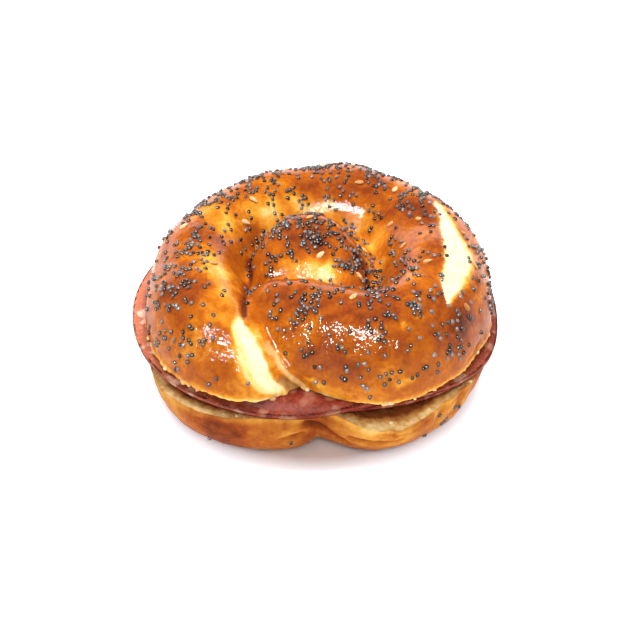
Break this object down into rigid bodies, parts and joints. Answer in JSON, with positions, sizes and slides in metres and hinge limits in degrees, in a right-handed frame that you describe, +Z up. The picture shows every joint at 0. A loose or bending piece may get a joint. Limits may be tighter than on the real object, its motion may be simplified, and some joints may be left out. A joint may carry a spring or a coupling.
{
  "type": "pretzel sandwich",
  "caption": "Round sandwich: a coiled pretzel roll baked with sesame and poppy seeds, cut through and filled with thin salami.",
  "frame": {"origin": "centre of the outline, on the table under the roll", "axes": "+Z up through the roll, -Y towards the front where the two arms of the coil meet"},
  "size_m": [0.1108, 0.1092, 0.0506],
  "materials": {
    "baked_crust": "glossy orange-brown pretzel crust, darker on the crests and golden in the creases",
    "lower_crust": "golden to reddish-brown baked underside, satin, with a pale cut face of crumb",
    "salami": "moist pink-red cured sausage with pale flecks of fat"
  },
  "bodies": {
    "root": {"bun_bottom": "lower_crust", "salami_1": "salami", "salami_2": "salami", "salami_3": "salami", "bun_top": "baked_crust"}
  },
  "joints": []
}
